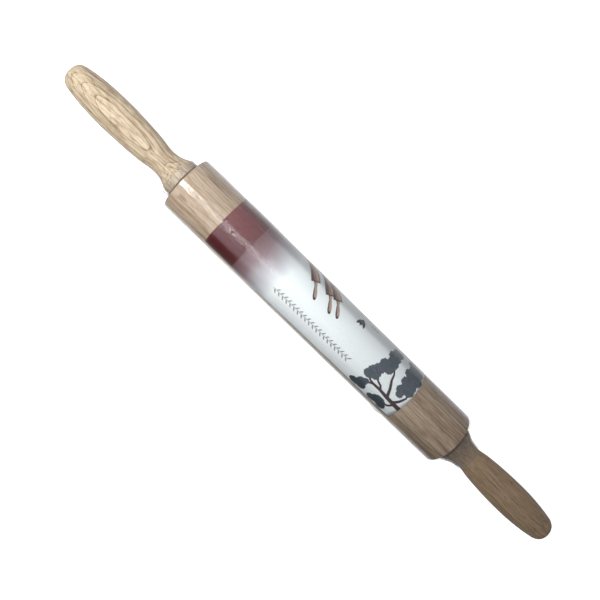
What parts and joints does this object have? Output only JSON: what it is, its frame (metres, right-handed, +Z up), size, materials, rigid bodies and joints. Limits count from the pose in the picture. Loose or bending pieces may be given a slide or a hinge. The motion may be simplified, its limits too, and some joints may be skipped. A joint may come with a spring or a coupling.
{
  "type": "rolling pin",
  "caption": "Wooden rolling pin: a round barrel turning on a steel axle between two turned handles, with a paper wrap label under a clear shrink-film sleeve.",
  "frame": {"origin": "middle of the pin, on the axle's centre line, halfway along the barrel", "axes": "+X along the axle towards the right-hand handle, +Y across the pin, +Z up through the printed face of the label"},
  "size_m": [0.457, 0.042, 0.042],
  "materials": {
    "barrel_wood": "fine sanded, open straight grain, no varnish",
    "handle_wood": "turned and sanded, pale, with cathedral grain",
    "axle_steel": "drawn bright",
    "bush_nylon": "natural nylon",
    "label_paper": "coated printed paper, satin",
    "clear_film": "clear heat-shrunk film, glossy, finely wrinkled"
  },
  "bodies": {
    "hands": {"handle_left": "handle_wood", "handle_right": "handle_wood", "axle_rod": "axle_steel", "thrust_washer_left": "axle_steel", "thrust_washer_right": "axle_steel"},
    "barrel": {"barrel": "barrel_wood", "bush_left": "bush_nylon", "bush_right": "bush_nylon", "paper_label": "label_paper", "shrink_film": "clear_film"}
  },
  "joints": [
    {"name": "barrel_spin", "type": "hinge", "parent": "hands", "child": "barrel", "pos_m": [0, 0, 0], "axis": [1, 0, 0], "continuous": true}
  ]
}
